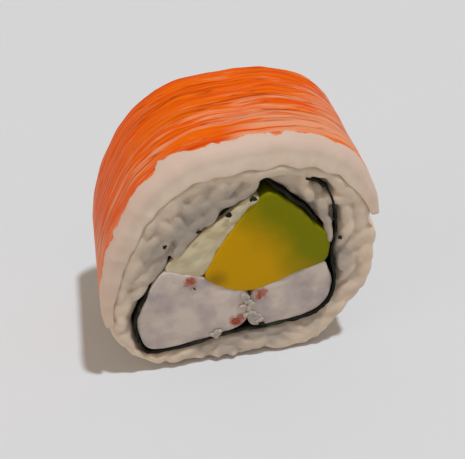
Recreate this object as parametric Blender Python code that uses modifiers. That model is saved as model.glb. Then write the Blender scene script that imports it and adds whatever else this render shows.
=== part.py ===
"""One cut piece of an uramaki roll: a sheet of orange-skinned surimi over a ring of rice, a
spiral of nori inside the rice, and avocado, soft cheese and two prawn pieces inside the nori.

The roll lies on its side. Its axis is Y, the cut face that shows its fillings best looks along
-Y, and it rests on the flat underside of the rice at Z = 0. The origin is the middle of the
footprint. The face is drawn in millimetres, as (x, height) seen from the front, and every
object is made from that section, so neighbours share the curves that part them.
"""

import math
import random

import bmesh
import bpy
from mathutils import Matrix, Vector

MM = 0.001

# Driving dimensions, in millimetres
ROLL_LENGTH = 27.0
CENTRE_HEIGHT = 23.0
BACK_TAPER = 0.015  # how much narrower the back face is than the front one, as a share
BACK_SHIFT = 1.4  # how far the back face lies to the right, as the knife went a little askew
GAP = 0.3  # clear space between two pieces that touch in the real food

# The roll's outer radius about its centre, at even steps of a turn from the right-hand side
# and over the top. The floor cuts off what is lower than 0.
OUTLINE_RADII = (
    24.0, 25.2, 25.7, 24.2, 22.5, 22.8, 22.6, 22.1,
    23.3, 25.8, 26.9, 26.8, 24.4, 26.4, 24.9, 25.0,
)
OUTLINE_STEPS = 96

# The surimi sheet runs over the top, from its right-hand end to its left-hand end
TOPPING_START, TOPPING_END = 13.0, 205.0  # degrees from the right-hand side
TOPPING_THICKNESS = (1.1, 3.0, 4.2, 4.8, 5.0, 5.0, 4.8, 4.5, 4.0, 3.5, 3.1, 2.5, 1.1)
TOPPING_STEPS_ROUND, TOPPING_STEPS_ALONG = 60, 18
STRAND_PITCH = 2.9  # from one surimi strand to the next
STRAND_DEPTH = 0.22
STRAND_SLANT = 0.35  # turns of strand phase from one end of the sheet to the other
CUT_EDGE_ROUNDING = 0.5  # how far the sheet drops at its two cut edges

NORI_THICKNESS = 0.6
NORI_PATH = (
    (10.6, 37.3), (14.0, 35.2), (15.8, 31.0), (16.3, 26.5), (15.9, 21.5), (16.8, 15.2),
    (15.9, 10.4), (12.4, 7.7), (6.0, 6.9), (-2.4, 6.3), (-10.0, 5.0), (-16.4, 4.7),
    (-18.1, 8.4), (-18.3, 12.6), (-16.5, 17.2), (-13.9, 21.9), (-10.3, 25.8), (-6.4, 29.4),
    (-2.0, 32.4), (1.6, 35.2), (3.9, 37.2), (6.0, 36.0), (8.2, 33.8), (10.8, 31.4),
    (12.8, 28.6),
)
POCKET_FLOOR = 26.4  # height where the rice pocket between the nori's two ends stops

AVOCADO = (
    (-5.4, 20.6), (-3.3, 25.0), (-0.5, 29.2), (2.1, 32.7), (4.7, 34.7), (7.3, 33.0),
    (10.0, 30.4), (12.2, 27.5), (14.7, 24.9), (14.9, 22.1), (14.2, 19.9), (10.4, 18.7),
    (6.2, 17.1), (2.8, 16.1), (-0.2, 16.2), (-3.0, 17.6), (-5.0, 19.0),
)
CREAM_CHEESE = (
    (-12.2, 22.3), (-9.8, 24.9), (-5.8, 28.6), (-1.5, 31.6), (1.0, 33.6), (2.2, 34.4),
    (2.5, 33.9), (1.0, 32.4), (-1.1, 29.6), (-4.0, 25.2), (-5.9, 21.2), (-7.7, 20.3),
    (-10.2, 21.3),
)
PRAWN_LEFT = (
    (-12.7, 21.3), (-10.2, 20.5), (-7.6, 19.6), (-5.4, 18.4), (-3.2, 16.9), (-0.2, 15.6),
    (1.2, 13.3), (1.1, 10.3), (-0.8, 7.9), (-5.2, 6.7), (-10.2, 5.9), (-15.6, 5.8),
    (-17.2, 8.8), (-17.4, 12.5), (-15.7, 16.8), (-14.1, 19.8),
)
PRAWN_RIGHT = (
    (2.0, 12.9), (3.2, 15.2), (6.4, 16.4), (10.6, 18.0), (13.9, 19.2), (15.0, 17.4),
    (15.8, 14.6), (15.0, 11.0), (12.0, 8.6), (6.4, 7.8), (2.6, 7.7), (1.8, 10.2),
)
FILLING_RIM = 0.2  # rounding of the fillings' cut edges

GRAIN_SIZE = (5.4, 2.7, 2.5)  # length, width and height of a cooked grain
GRAIN_SIDES, GRAIN_RINGS = 6, 4
GRAIN_VARIATION = 0.12
GRAIN_SPACING = 2.5
CORE_SINK = 0.8  # how far the rice core lies behind the grains that show
FACE_GRAINS, SIDE_GRAINS = 46, 66
GRAIN_TRIES = 3000
GRAIN_TEST_POINTS = 12  # on a grain's outline, when its place is tested
GRAIN_SEED = 11
BARE_SIDES = ((206.0, 236.0), (-48.0, 12.0))  # degrees round the roll where side grains may lie
TOPPING_CLEARANCE = 4.5  # degrees that the rice's edge stays down past the surimi's ends
GRAIN_CLEARANCE = 2.0  # degrees that side grains keep from the surimi's ends

COLOURS = {
    "surimi": (0.88, 0.30, 0.06),
    "rice": (0.82, 0.78, 0.70),
    "nori": (0.03, 0.04, 0.03),
    "avocado": (0.58, 0.55, 0.08),
    "cream_cheese": (0.80, 0.78, 0.62),
    "prawn": (0.74, 0.70, 0.67),
}
ROUGHNESS = {"surimi": 0.4, "rice": 0.5, "nori": 0.6, "avocado": 0.35, "cream_cheese": 0.5, "prawn": 0.4}


def clear_scene():
    for obj in list(bpy.data.objects):
        bpy.data.objects.remove(obj, do_unlink=True)


def material(name):
    made = bpy.data.materials.new(name)
    made.use_nodes = True
    shader = made.node_tree.nodes["Principled BSDF"]
    shader.inputs["Base Color"].default_value = (*COLOURS[name], 1)
    shader.inputs["Roughness"].default_value = ROUGHNESS[name]
    shader.inputs["Metallic"].default_value = 0
    return made


def cubic(a, b, c, d, share):
    """Catmull-Rom value between b and c, for numbers and for vectors."""
    return b + 0.5 * share * ((c - a) + share * (2 * a - 5 * b + 4 * c - d + share * (3 * (b - c) + d - a)))


def smooth_path(points, steps, closed):
    """Points along one smooth curve through the given ones."""
    knots = [Vector(p) for p in points]
    spans = len(knots) if closed else len(knots) - 1
    path = []
    for span in range(spans):
        if closed:
            four = [knots[(span + k) % len(knots)] for k in (-1, 0, 1, 2)]
        else:
            four = [knots[min(max(span + k, 0), len(knots) - 1)] for k in (-1, 0, 1, 2)]
        path += [cubic(*four, step / steps) for step in range(steps)]
    return path if closed else path + [knots[-1]]


def outline(angle):
    """The roll's outer skin at an angle in degrees, in millimetres."""
    place = angle / 360 * len(OUTLINE_RADII)
    first = math.floor(place)
    four = [OUTLINE_RADII[(first + k) % len(OUTLINE_RADII)] for k in (-1, 0, 1, 2)]
    radius = cubic(*four, place - first)
    turn = math.radians(angle)
    return Vector((radius * math.cos(turn), CENTRE_HEIGHT + radius * math.sin(turn)))


def inward(angle, depth):
    """The point that lies a depth under the outer skin, and never below the floor."""
    along = outline(angle + 0.5) - outline(angle - 0.5)
    point = outline(angle) + Vector((-along.y, along.x)).normalized() * depth
    return Vector((point.x, max(point.y, 0)))


def topping_thickness(angle):
    share = (angle - TOPPING_START) / (TOPPING_END - TOPPING_START)
    place = min(max(share, 0), 1) * (len(TOPPING_THICKNESS) - 1)
    first = min(int(place), len(TOPPING_THICKNESS) - 2)
    low, high = TOPPING_THICKNESS[first : first + 2]
    return low + (high - low) * (place - first)


def under_topping(angle, margin=0):
    return TOPPING_START - margin <= angle <= TOPPING_END + margin


def rice_outline(bare_depth):
    """The rice's outer edge: under the surimi, and bare_depth under the skin elsewhere."""
    edge = []
    for step in range(OUTLINE_STEPS):
        angle = 360 * step / OUTLINE_STEPS
        depth = bare_depth
        if under_topping(angle, TOPPING_CLEARANCE):
            depth = max(depth, topping_thickness(angle) + 1.5 * GAP)
        edge.append(inward(angle, depth))
    return edge


def nori_line():
    return smooth_path(NORI_PATH, 3, closed=False)


def offset_line(line, distance):
    """The line moved sideways, to the left of its direction."""
    moved = []
    for i, point in enumerate(line):
        along = line[min(i + 1, len(line) - 1)] - line[max(i - 1, 0)]
        moved.append(point + Vector((-along.y, along.x)).normalized() * distance)
    return moved


def rice_hole():
    """What the rice goes round: the nori's whole outer side, then back up its inner side along
    the stretch where the sheet's two ends overlap with rice between them."""
    line = nori_line()
    clear = NORI_THICKNESS / 2 + GAP
    overlap = [i for i, point in enumerate(line[:15]) if point.y > POCKET_FLOOR]
    inner_side = offset_line(line, -clear)
    start_cap = line[0] + (line[0] - line[1]).normalized() * clear
    return offset_line(line, clear) + [inner_side[i] for i in reversed(overlap)] + [start_cap]


def inside(point, loop):
    """Whether the loop goes round the point."""
    found = False
    for a, b in zip(loop, loop[1:] + loop[:1]):
        if (a.y > point.y) != (b.y > point.y):
            found ^= point.x < a.x + (point.y - a.y) / (b.y - a.y) * (b.x - a.x)
    return found


def new_object(name, mesh, material_name):
    obj = bpy.data.objects.new(name, mesh)
    mesh.materials.clear()
    mesh.materials.append(bpy.data.materials.get(material_name) or material(material_name))
    part_collection.objects.link(obj)
    obj.parent = roll
    mesh.shade_smooth()
    mesh.set_sharp_from_angle(angle=math.radians(40))
    return obj


def back_share(along):
    """0 at the front face and 1 at the back one."""
    return 0.5 + along / ROLL_LENGTH


def taper(mesh):
    """Narrows a mesh towards the back, and moves it to the right there."""
    for vertex in mesh.vertices:
        share = back_share(vertex.co.y / MM)
        scale = 1 - BACK_TAPER * share
        vertex.co.x = vertex.co.x * scale + BACK_SHIFT * MM * share
        vertex.co.z *= scale


def drawn_section(loops, half_length, rim, closed=True):
    """A mesh of the loops, given in millimetres, drawn as a flat curve and run along Y."""
    curve = bpy.data.curves.new("section", "CURVE")
    curve.dimensions = "2D"
    curve.fill_mode = "BOTH" if closed else "NONE"
    curve.extrude = (half_length - rim) * MM
    curve.bevel_depth = rim * MM
    curve.bevel_resolution = 1
    curve.offset = -rim * MM
    for loop in loops:
        spline = curve.splines.new("POLY")
        spline.points.add(len(loop) - 1)
        spline.use_cyclic_u = closed
        for point, place in zip(spline.points, loop):
            point.co = (place.x * MM, place.y * MM, 0, 1)
    drawn = bpy.data.objects.new("section", curve)
    part_collection.objects.link(drawn)
    evaluated = drawn.evaluated_get(bpy.context.evaluated_depsgraph_get())
    mesh = bpy.data.meshes.new_from_object(evaluated)
    bpy.data.objects.remove(drawn)
    work = bmesh.new()
    work.from_mesh(mesh)
    bmesh.ops.remove_doubles(work, verts=work.verts, dist=0.001 * MM)
    bmesh.ops.rotate(work, verts=work.verts, matrix=Matrix.Rotation(math.radians(90), 3, "X"))
    bmesh.ops.recalc_face_normals(work, faces=work.faces)
    work.to_mesh(mesh)
    work.free()
    return mesh


def make_filling(name, points, material_name):
    mesh = drawn_section([smooth_path(points, 4, closed=True)], ROLL_LENGTH / 2, FILLING_RIM)
    taper(mesh)
    mesh.name = name
    return new_object(name, mesh, material_name)


def make_nori():
    mesh = drawn_section([nori_line()], ROLL_LENGTH / 2, 0, closed=False)
    taper(mesh)
    mesh.name = "nori"
    obj = new_object("nori", mesh, "nori")
    sheet = obj.modifiers.new("sheet", "SOLIDIFY")
    sheet.thickness = NORI_THICKNESS * MM
    sheet.offset = 0
    return obj


def make_topping():
    """The surimi sheet: an outer skin with strands, thickened inwards and thin at both ends."""
    work = bmesh.new()
    bmesh.ops.create_grid(
        work, x_segments=TOPPING_STEPS_ROUND, y_segments=TOPPING_STEPS_ALONG, size=1
    )
    thickness = {}
    for vertex in work.verts:
        round_share, along = (vertex.co.x + 1) / 2, vertex.co.y * ROLL_LENGTH / 2
        angle = TOPPING_START + (TOPPING_END - TOPPING_START) * round_share
        strand = math.sin(2 * math.pi * (along / STRAND_PITCH + STRAND_SLANT * round_share))
        edge = max(0, abs(vertex.co.y) - 0.85) / 0.15
        depth = STRAND_DEPTH * (1 - strand) / 2 + CUT_EDGE_ROUNDING * edge**2
        depth *= min(1, 4 * round_share, 4 - 4 * round_share)
        point = inward(angle, depth)
        scale = 1 - BACK_TAPER * back_share(along)
        thickness[vertex.index] = (topping_thickness(angle) - depth) * scale
        vertex.co = Vector((point.x, along, point.y)) * MM
    bmesh.ops.reverse_faces(work, faces=work.faces)
    mesh = bpy.data.meshes.new("surimi_topping")
    work.to_mesh(mesh)
    work.free()
    taper(mesh)
    obj = new_object("surimi_topping", mesh, "surimi")
    group = obj.vertex_groups.new(name="thickness")
    for index, value in thickness.items():
        group.add([index], value / max(TOPPING_THICKNESS), "REPLACE")
    sheet = obj.modifiers.new("sheet", "SOLIDIFY")
    sheet.thickness = max(TOPPING_THICKNESS) * MM
    sheet.offset = -1
    sheet.vertex_group = group.name
    return obj


def grain_points(centre, turn, size):
    """The grain's outline in the plane it lies in."""
    points = []
    for step in range(GRAIN_TEST_POINTS):
        a = 2 * math.pi * step / GRAIN_TEST_POINTS
        local = Vector((size.x / 2 * math.cos(a), size.y / 2 * math.sin(a)))
        local.rotate(Matrix.Rotation(turn, 2))
        points.append(centre + local)
    return points


def crosses(line, centre, turn, size):
    """Whether a grain, seen along the roll, comes too near the nori's line."""
    clear = NORI_THICKNESS / 2 + GAP
    for point in line:
        local = point - centre
        local.rotate(Matrix.Rotation(-turn, 2))
        if (local.x / (size.x / 2 + clear)) ** 2 + (local.y / (size.y / 2 + clear)) ** 2 < 1:
            return True
    return False


def grain_size(draw):
    scale = 1 + GRAIN_VARIATION * (2 * draw.random() - 1)
    return Vector(GRAIN_SIZE) * scale


def face_grains(draw, limit, hole):
    """Places of the grains of one cut face, as (centre, turn, size)."""
    placed = []
    line = nori_line()
    for _ in range(GRAIN_TRIES):
        if len(placed) == FACE_GRAINS:
            break
        reach = max(OUTLINE_RADII)
        centre = Vector((draw.uniform(-reach, reach), CENTRE_HEIGHT + draw.uniform(-reach, reach)))
        turn, size = draw.uniform(0, math.pi), grain_size(draw)
        if any((centre - other[0]).length < GRAIN_SPACING for other in placed):
            continue
        points = grain_points(centre, turn, size)
        if crosses(line, centre, turn, size):
            continue
        if all(inside(p, limit) and not inside(p, hole) for p in points):
            placed.append((centre, turn, size))
    return placed


def side_grains(draw):
    """Places of the grains on the bare outer skin, as (angle, along, turn, size)."""
    placed = []
    line = nori_line()
    reach = GRAIN_SIZE[0] / 2 * (1 + GRAIN_VARIATION)
    for _ in range(GRAIN_TRIES):
        if len(placed) == SIDE_GRAINS:
            break
        angle = draw.uniform(*draw.choice(BARE_SIDES))
        along = draw.uniform(-1, 1) * (ROLL_LENGTH / 2 - GRAIN_SIZE[1] / 2)
        turn, size = draw.uniform(0, math.pi), grain_size(draw)
        centre = inward(angle, size.z / 2)
        side = reach * abs(math.sin(turn)) + 0.2
        swing = math.degrees(side / (centre - Vector((0, CENTRE_HEIGHT))).length)
        low = (angle - swing) if angle < 90 else (angle + swing)
        near = any(
            (centre - other[4]).length_squared + (along - other[1]) ** 2 < GRAIN_SPACING**2
            for other in placed
        )
        clear = not any(under_topping(angle + s, GRAIN_CLEARANCE) for s in (swing, -swing))
        if near or not clear or inward(low, size.z / 2).y < size.z / 2:
            continue
        if crosses(line, centre, math.radians(angle + 90), Vector((2 * side, size.z))):
            continue
        if abs(along) + reach * abs(math.cos(turn)) > ROLL_LENGTH / 2:
            continue
        placed.append((angle, along, turn, size, centre))
    return placed


def add_grain(number, matrix, size):
    """One grain as its own closed object, in the collection that joins the rice core."""
    work = bmesh.new()
    bmesh.ops.create_uvsphere(work, u_segments=GRAIN_SIDES, v_segments=GRAIN_RINGS, radius=0.5)
    bmesh.ops.rotate(work, verts=work.verts, matrix=Matrix.Rotation(math.radians(90), 3, "Y"))
    bmesh.ops.scale(work, verts=work.verts, vec=size * MM)
    bmesh.ops.transform(work, verts=work.verts, matrix=matrix)
    mesh = bpy.data.meshes.new(f"grain_{number}")
    work.to_mesh(mesh)
    work.free()
    taper(mesh)
    grain_collection.objects.link(bpy.data.objects.new(mesh.name, mesh))


def add_all_grains():
    draw = random.Random(GRAIN_SEED)
    limit, hole = rice_outline(0.1), rice_hole()
    number = 0
    for front in (-1, 1):
        for centre, turn, size in face_grains(draw, limit, hole):
            along = front * (ROLL_LENGTH - size.z) / 2
            place = Matrix.Translation(Vector((centre.x, along, centre.y)) * MM)
            flat = Matrix.Rotation(math.radians(90), 4, "X") @ Matrix.Rotation(turn, 4, "Z")
            add_grain(number, place @ flat, size)
            number += 1
    for angle, along, turn, size, centre in side_grains(draw):
        place = Matrix.Translation(Vector((centre.x, along, centre.y)) * MM)
        facing = Matrix.Rotation(math.radians(90 - angle), 4, "Y")
        lying = Matrix.Rotation(math.radians(90) + turn, 4, "Z")
        add_grain(number, place @ facing @ lying, size)
        number += 1


def make_rice():
    """The rice core, run through the roll round the nori, with the grains that show."""
    mesh = drawn_section([rice_outline(CORE_SINK), rice_hole()], ROLL_LENGTH / 2 - CORE_SINK, 0)
    taper(mesh)
    mesh.name = "rice"
    obj = new_object("rice", mesh, "rice")
    add_all_grains()
    join = obj.modifiers.new("grains", "BOOLEAN")
    join.operation = "UNION"
    join.operand_type = "COLLECTION"
    join.collection = grain_collection
    join.solver = "MANIFOLD"
    evaluated = obj.evaluated_get(bpy.context.evaluated_depsgraph_get())
    joined = bpy.data.meshes.new_from_object(evaluated)
    obj.modifiers.clear()
    obj.data = joined
    joined.name = "rice"
    for grain in list(grain_collection.objects):
        bpy.data.objects.remove(grain)
    bpy.data.collections.remove(grain_collection)
    return obj


clear_scene()
part_collection = bpy.data.collections.new("uramaki_roll")
grain_collection = bpy.data.collections.new("grains")
bpy.context.scene.collection.children.link(part_collection)
bpy.context.scene.collection.children.link(grain_collection)
roll = bpy.data.objects.new("roll", None)
part_collection.objects.link(roll)

make_topping()
make_nori()
make_filling("avocado", AVOCADO, "avocado")
make_filling("cream_cheese", CREAM_CHEESE, "cream_cheese")
make_filling("prawn_left", PRAWN_LEFT, "prawn")
make_filling("prawn_right", PRAWN_RIGHT, "prawn")
make_rice()
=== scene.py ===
"""The looks of one cut piece of uramaki roll, as pieces made over its CAD solids.

Lengths are in millimetres, and MM turns them to metres. The shown cut face looks along -Y. A
section is drawn on it as (x, height), and narrows a little towards the back face. The surimi
sheet is drawn round the roll by its angle in degrees, from the right-hand side over the top.
"""

import math
import random
from functools import partial

import bmesh
import bpy
from bpy.props import FloatProperty, FloatVectorProperty, IntProperty, PointerProperty
from bpy.types import Operator, Panel, PropertyGroup
from mathutils import Matrix, Vector, noise


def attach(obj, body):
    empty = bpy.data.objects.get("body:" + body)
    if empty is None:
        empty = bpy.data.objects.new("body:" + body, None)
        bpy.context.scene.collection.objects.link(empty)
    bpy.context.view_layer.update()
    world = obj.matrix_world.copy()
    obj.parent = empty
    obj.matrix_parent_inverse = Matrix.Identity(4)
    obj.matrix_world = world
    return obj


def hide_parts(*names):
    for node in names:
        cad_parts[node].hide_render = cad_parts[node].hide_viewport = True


bl_info = {
    "name": "Uramaki Roll",
    "version": (1, 0, 0),
    "blender": (4, 5, 0),
    "location": "View3D > Sidebar > Uramaki",
    "description": "Surimi sheet, rice, nori and fillings of one cut uramaki roll",
    "category": "Object",
}

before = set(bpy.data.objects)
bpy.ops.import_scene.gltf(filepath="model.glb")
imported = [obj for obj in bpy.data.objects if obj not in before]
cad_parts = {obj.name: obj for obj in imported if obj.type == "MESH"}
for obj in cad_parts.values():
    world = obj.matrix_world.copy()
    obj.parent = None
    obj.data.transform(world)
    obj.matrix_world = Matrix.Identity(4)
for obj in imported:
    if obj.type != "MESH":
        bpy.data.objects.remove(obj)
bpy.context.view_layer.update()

MM = 0.001
MERGE = 0.002 * MM  # points that lie closer are one
LENGTH = 27.0
FRONT, BACK = -LENGTH / 2, LENGTH / 2
CENTRE_HEIGHT = 23.0
BACK_TAPER = 0.015  # how much narrower the back face is, as a share
BACK_SHIFT = 1.4  # how far the back face lies to the right
MEAN_RADIUS = 24.0  # of the outer skin about the centre

# The outer radius about the centre, at even steps of a turn from the right and over the top
OUTLINE_RADII = (
    24.0, 25.2, 25.7, 24.2, 22.5, 22.8, 22.6, 22.1,
    23.3, 25.8, 26.9, 26.8, 24.4, 26.4, 24.9, 25.0,
)
SHEET_START, SHEET_END = 13.0, 205.0
SHEET_THICKNESS = (1.1, 3.0, 4.2, 4.8, 5.0, 5.0, 4.8, 4.5, 4.0, 3.5, 3.1, 2.5, 1.1)

NORI_PATH = (
    (10.6, 37.3), (14.0, 35.2), (15.8, 31.0), (16.3, 26.5), (15.9, 21.5), (16.8, 15.2),
    (15.9, 10.4), (12.4, 7.7), (6.0, 6.9), (-2.4, 6.3), (-10.0, 5.0), (-16.4, 4.7),
    (-18.1, 8.4), (-18.3, 12.6), (-16.5, 17.2), (-13.9, 21.9), (-10.3, 25.8), (-6.4, 29.4),
    (-2.0, 32.4), (1.6, 35.2), (3.9, 37.2), (6.0, 36.0), (8.2, 33.8), (10.8, 31.4),
    (12.8, 28.6),
)
AVOCADO = (
    (-5.4, 20.6), (-3.3, 25.0), (-0.5, 29.2), (2.1, 32.7), (4.7, 34.7), (7.3, 33.0),
    (10.0, 30.4), (12.2, 27.5), (14.7, 24.9), (14.9, 22.1), (14.2, 19.9), (10.4, 18.7),
    (6.2, 17.1), (2.8, 16.1), (-0.2, 16.2), (-3.0, 17.6), (-5.0, 19.0),
)
CHEESE = (
    (-12.2, 22.3), (-9.8, 24.9), (-5.8, 28.6), (-1.5, 31.6), (1.0, 33.6), (2.2, 34.4),
    (2.5, 33.9), (1.0, 32.4), (-1.1, 29.6), (-4.0, 25.2), (-5.9, 21.2), (-7.7, 20.3),
    (-10.2, 21.3),
)
PRAWN_LEFT = (
    (-12.7, 21.3), (-10.2, 20.5), (-7.6, 19.6), (-5.4, 18.4), (-3.2, 16.9), (-0.2, 15.6),
    (1.2, 13.3), (1.1, 10.3), (-0.8, 7.9), (-5.2, 6.7), (-10.2, 5.9), (-15.6, 5.8),
    (-17.2, 8.8), (-17.4, 12.5), (-15.7, 16.8), (-14.1, 19.8),
)
PRAWN_RIGHT = (
    (2.0, 12.9), (3.2, 15.2), (6.4, 16.4), (10.6, 18.0), (13.9, 19.2), (15.0, 17.4),
    (15.8, 14.6), (15.0, 11.0), (12.0, 8.6), (6.4, 7.8), (2.6, 7.7), (1.8, 10.2),
)
POCKET_FLOOR = 26.4  # height where the rice between the nori's two ends stops

# Small bits on the shown face, each line as (x, height, spread, number of bits, size)
SHREDS = (
    (-4.3, 7.3, 0.45, 5, 1.1), (2.3, 9.8, 0.55, 8, 1.2), (1.8, 12.2, 0.4, 4, 1.1),
    (1.2, 14.2, 0.5, 4, 1.0),
)
SKIN_BITS = ((-8.7, 19.9, 0.4, 3, 0.6), (3.5, 14.6, 0.4, 2, 0.5), (-0.5, 9.0, 0.5, 3, 1.0))
NORI_BITS = (
    (1.8, 34.9, 0.15, 3, 0.8), (-2.0, 32.2, 0.2, 3, 0.9), (-7.0, 29.9, 0.1, 2, 0.6),
    (-12.3, 27.7, 0.2, 2, 0.6), (-8.0, 17.9, 0.0, 1, 0.45), (17.0, 24.5, 0.1, 2, 0.55),
    (3.8, 7.9, 0.2, 2, 0.7),
)
# Grains that close the rice pocket's end, as (x, height, turn in degrees, size as a share)
POCKET_GRAINS = ((14.4, 28.4, 130, 0.75), (15.1, 26.6, 105, 0.7), (15.35, 24.7, 95, 0.5))

# The solids keep clear of each other, and the pieces that stand for them close up again
SHEET_SEATING = 0.4
FILLING_SEATING = 0.62
BED_SEATING = 0.29
BED_SINK = 0.6  # how far the rice bed is let in behind the grains that show

ROW_SHARE = 0.9  # from one row of grains to the next, as a share of the pitch
BED_VOXEL, GRAIN_VOXEL = 0.55, 0.36  # how finely the rice is run together


def linear(hex_colour):
    """The linear colour of an sRGB hex value."""
    shares = [int(hex_colour[i : i + 2], 16) / 255 for i in (0, 2, 4)]
    return [s / 12.92 if s <= 0.04045 else ((s + 0.055) / 1.055) ** 2.4 for s in shares]


def colour_property(name, description, hex_colour):
    kind = {"subtype": "COLOR", "size": 3, "min": 0, "max": 1}
    return FloatVectorProperty(name=name, description=description, default=linear(hex_colour), **kind)


def length_property(name, description, millimetres):
    return FloatProperty(name=name, description=description, unit="LENGTH", default=millimetres * MM)


class SurimiSettings(PropertyGroup):
    orange: colour_property("Skin orange", "Vivid colour of the dyed skin", "F66E00")
    red_orange: colour_property("Skin red", "Deeper colour between the bright strands", "EA4E00")
    strand: colour_property("Strand line", "Colour of the thin lines between two strands", "A83400")
    salmon: colour_property("Skin salmon", "Where the dye is thin", "EE9B70")
    flesh: colour_property("Flesh", "The undyed fish paste at the cut", "EFDCC8")
    flesh_shade: colour_property("Flesh shade", "Cloudy patches, and the flesh down the left", "C8AE9A")
    # Partly dye, partly painted shade on the rounded cut edge, which the light makes brighter
    bleed_and_shade: colour_property("Bled dye", "Flesh next to the skin, which took up a little dye", "DABFAE")
    border: length_property("Flesh border", "How far behind the cut face the dyed skin starts", 2.0)
    rounding: length_property("Edge rounding", "Radius of the cut edge's outer corner", 2.2)


class RiceSettings(PropertyGroup):
    white: colour_property("Rice", "Grains in the light", "E0CBB4")
    # Damp glassy rice, and painted shade on the recessed rice beside the nori
    shade: colour_property("Damp rice", "Glassier grains beside the nori", "ACA093")
    grain_length: length_property("Grain length", "Length of a cooked grain", 5.8)
    grain_width: length_property("Grain width", "Width of a cooked grain", 2.8)
    grain_height: length_property("Grain height", "Thickness of a cooked grain", 2.4)
    pitch: length_property("Grain pitch", "From one grain to the next on a face", 2.9)
    seed: IntProperty(name="Seed", description="Which random laying of the grains is used", default=5)


class NoriSettings(PropertyGroup):
    sheet: colour_property("Nori", "Damp dried seaweed", "12100C")
    green: colour_property("Nori green", "Where the light goes through a torn edge", "2A3018")
    thickness: length_property("Nori thickness", "A damp sheet, a little swollen", 0.36)


class FillingSettings(PropertyGroup):
    avocado_yellow: colour_property("Avocado heart", "Ripe flesh near the stone", "CC9B00")
    avocado_green: colour_property("Avocado rim", "Flesh under the peel", "7E7E00")
    avocado_brown: colour_property("Avocado brown", "The tip that has begun to turn", "7A5A04")
    cheese: colour_property("Soft cheese", "Fresh cheese with a trace of avocado in it", "CFC4A6")
    cheese_tinge: colour_property("Cheese tinge", "Where avocado got into it", "C6AE80")
    prawn: colour_property("Prawn", "Cooked prawn flesh", "D2C2B6")
    prawn_shade: colour_property("Prawn shade", "Glassier muscle between the fibres", "AFA19E")
    prawn_red: colour_property("Prawn red", "Bits of the cooked skin", "AC4A30")
    shred: colour_property("Shreds", "Whiter shreds between the two prawn pieces", "C6B8AC")


class StageSettings(PropertyGroup):
    floor: colour_property("Floor", "Plain pale table top", "DEDEDF")
    floor_tone: colour_property("Floor tone", "The second tone of its faint clouds", "D6D7DA")
    lens: FloatProperty(name="Lens", description="Focal length", subtype="DISTANCE_CAMERA", default=76.63)
    key: FloatProperty(name="Key light", description="Strength of the overhead lamp", default=2.04)
    side: FloatProperty(name="Side light", description="Strength of the low light on the left", default=0.6)
    fill: FloatProperty(name="Fill light", description="Strength of the light from all round", default=0.38)


class RollSettings(PropertyGroup):
    surimi: PointerProperty(name="Surimi", description="The sheet over the rice", type=SurimiSettings)
    rice: PointerProperty(name="Rice", description="Rice bed and grains", type=RiceSettings)
    nori: PointerProperty(name="Nori", description="The seaweed spiral", type=NoriSettings)
    filling: PointerProperty(name="Fillings", description="What the nori holds", type=FillingSettings)
    stage: PointerProperty(name="Stage", description="Floor, lights and camera", type=StageSettings)


def cubic(a, b, c, d, share):
    """Catmull-Rom value between b and c, for numbers and for vectors."""
    return b + 0.5 * share * ((c - a) + share * (2 * a - 5 * b + 4 * c - d + share * (3 * (b - c) + d - a)))


def smooth_path(points, steps, closed):
    """Points along one smooth curve through the given ones."""
    knots = [Vector(p) for p in points]
    last = len(knots) - 1
    path = []
    for span in range(len(knots) if closed else last):
        if closed:
            four = [knots[(span + k) % len(knots)] for k in (-1, 0, 1, 2)]
        else:
            four = [knots[min(max(span + k, 0), last)] for k in (-1, 0, 1, 2)]
        path += [cubic(*four, step / steps) for step in range(steps)]
    return path if closed else path + [knots[last]]


def outline(angle):
    """The roll's outer skin at an angle in degrees."""
    place = angle / 360 * len(OUTLINE_RADII)
    first = math.floor(place)
    four = [OUTLINE_RADII[(first + k) % len(OUTLINE_RADII)] for k in (-1, 0, 1, 2)]
    radius = cubic(*four, place - first)
    turn = math.radians(angle)
    return Vector((radius * math.cos(turn), CENTRE_HEIGHT + radius * math.sin(turn)))


def inward_direction(angle):
    along = outline(angle + 0.5) - outline(angle - 0.5)
    return Vector((-along.y, along.x)).normalized()


def inward(angle, depth):
    """The point that lies a depth under the outer skin, and never below the floor."""
    point = outline(angle) + inward_direction(angle) * depth
    return Vector((point.x, max(point.y, 0)))


def sheet_thickness(angle):
    share = (angle - SHEET_START) / (SHEET_END - SHEET_START)
    place = min(max(share, 0), 1) * (len(SHEET_THICKNESS) - 1)
    first = min(int(place), len(SHEET_THICKNESS) - 2)
    low, high = SHEET_THICKNESS[first : first + 2]
    return low + (high - low) * (place - first)


def inside(point, loop):
    """Whether the loop goes round the point."""
    found = False
    for a, b in zip(loop, loop[1:] + loop[:1]):
        if (a.y > point.y) != (b.y > point.y):
            found ^= point.x < a.x + (point.y - a.y) / (b.y - a.y) * (b.x - a.x)
    return found


def rice_edge(depth):
    """The rice's outer edge: under the surimi, and a depth under the skin elsewhere."""
    edge = []
    for angle in range(0, 360, 4):
        covered = SHEET_START - 4 <= angle <= SHEET_END + 4
        edge.append(inward(angle, sheet_thickness(angle) + depth if covered else depth))
    return edge


def nori_line(steps):
    return smooth_path(NORI_PATH, steps, closed=False)


def offset_line(line, distance):
    """The line moved sideways, to the left of its direction."""
    moved = []
    for i, point in enumerate(line):
        along = line[min(i + 1, len(line) - 1)] - line[max(i - 1, 0)]
        moved.append(point + Vector((-along.y, along.x)).normalized() * distance)
    return moved


def rice_over_nori(point):
    """1 where the knife dragged rice over the nori's edge, on the upper left, and 0 elsewhere."""
    return min(max((point.y - 17.5) / 3, 0), 1) * min(max((5.4 - point.x) / 1.5, 0), 1)


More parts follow.
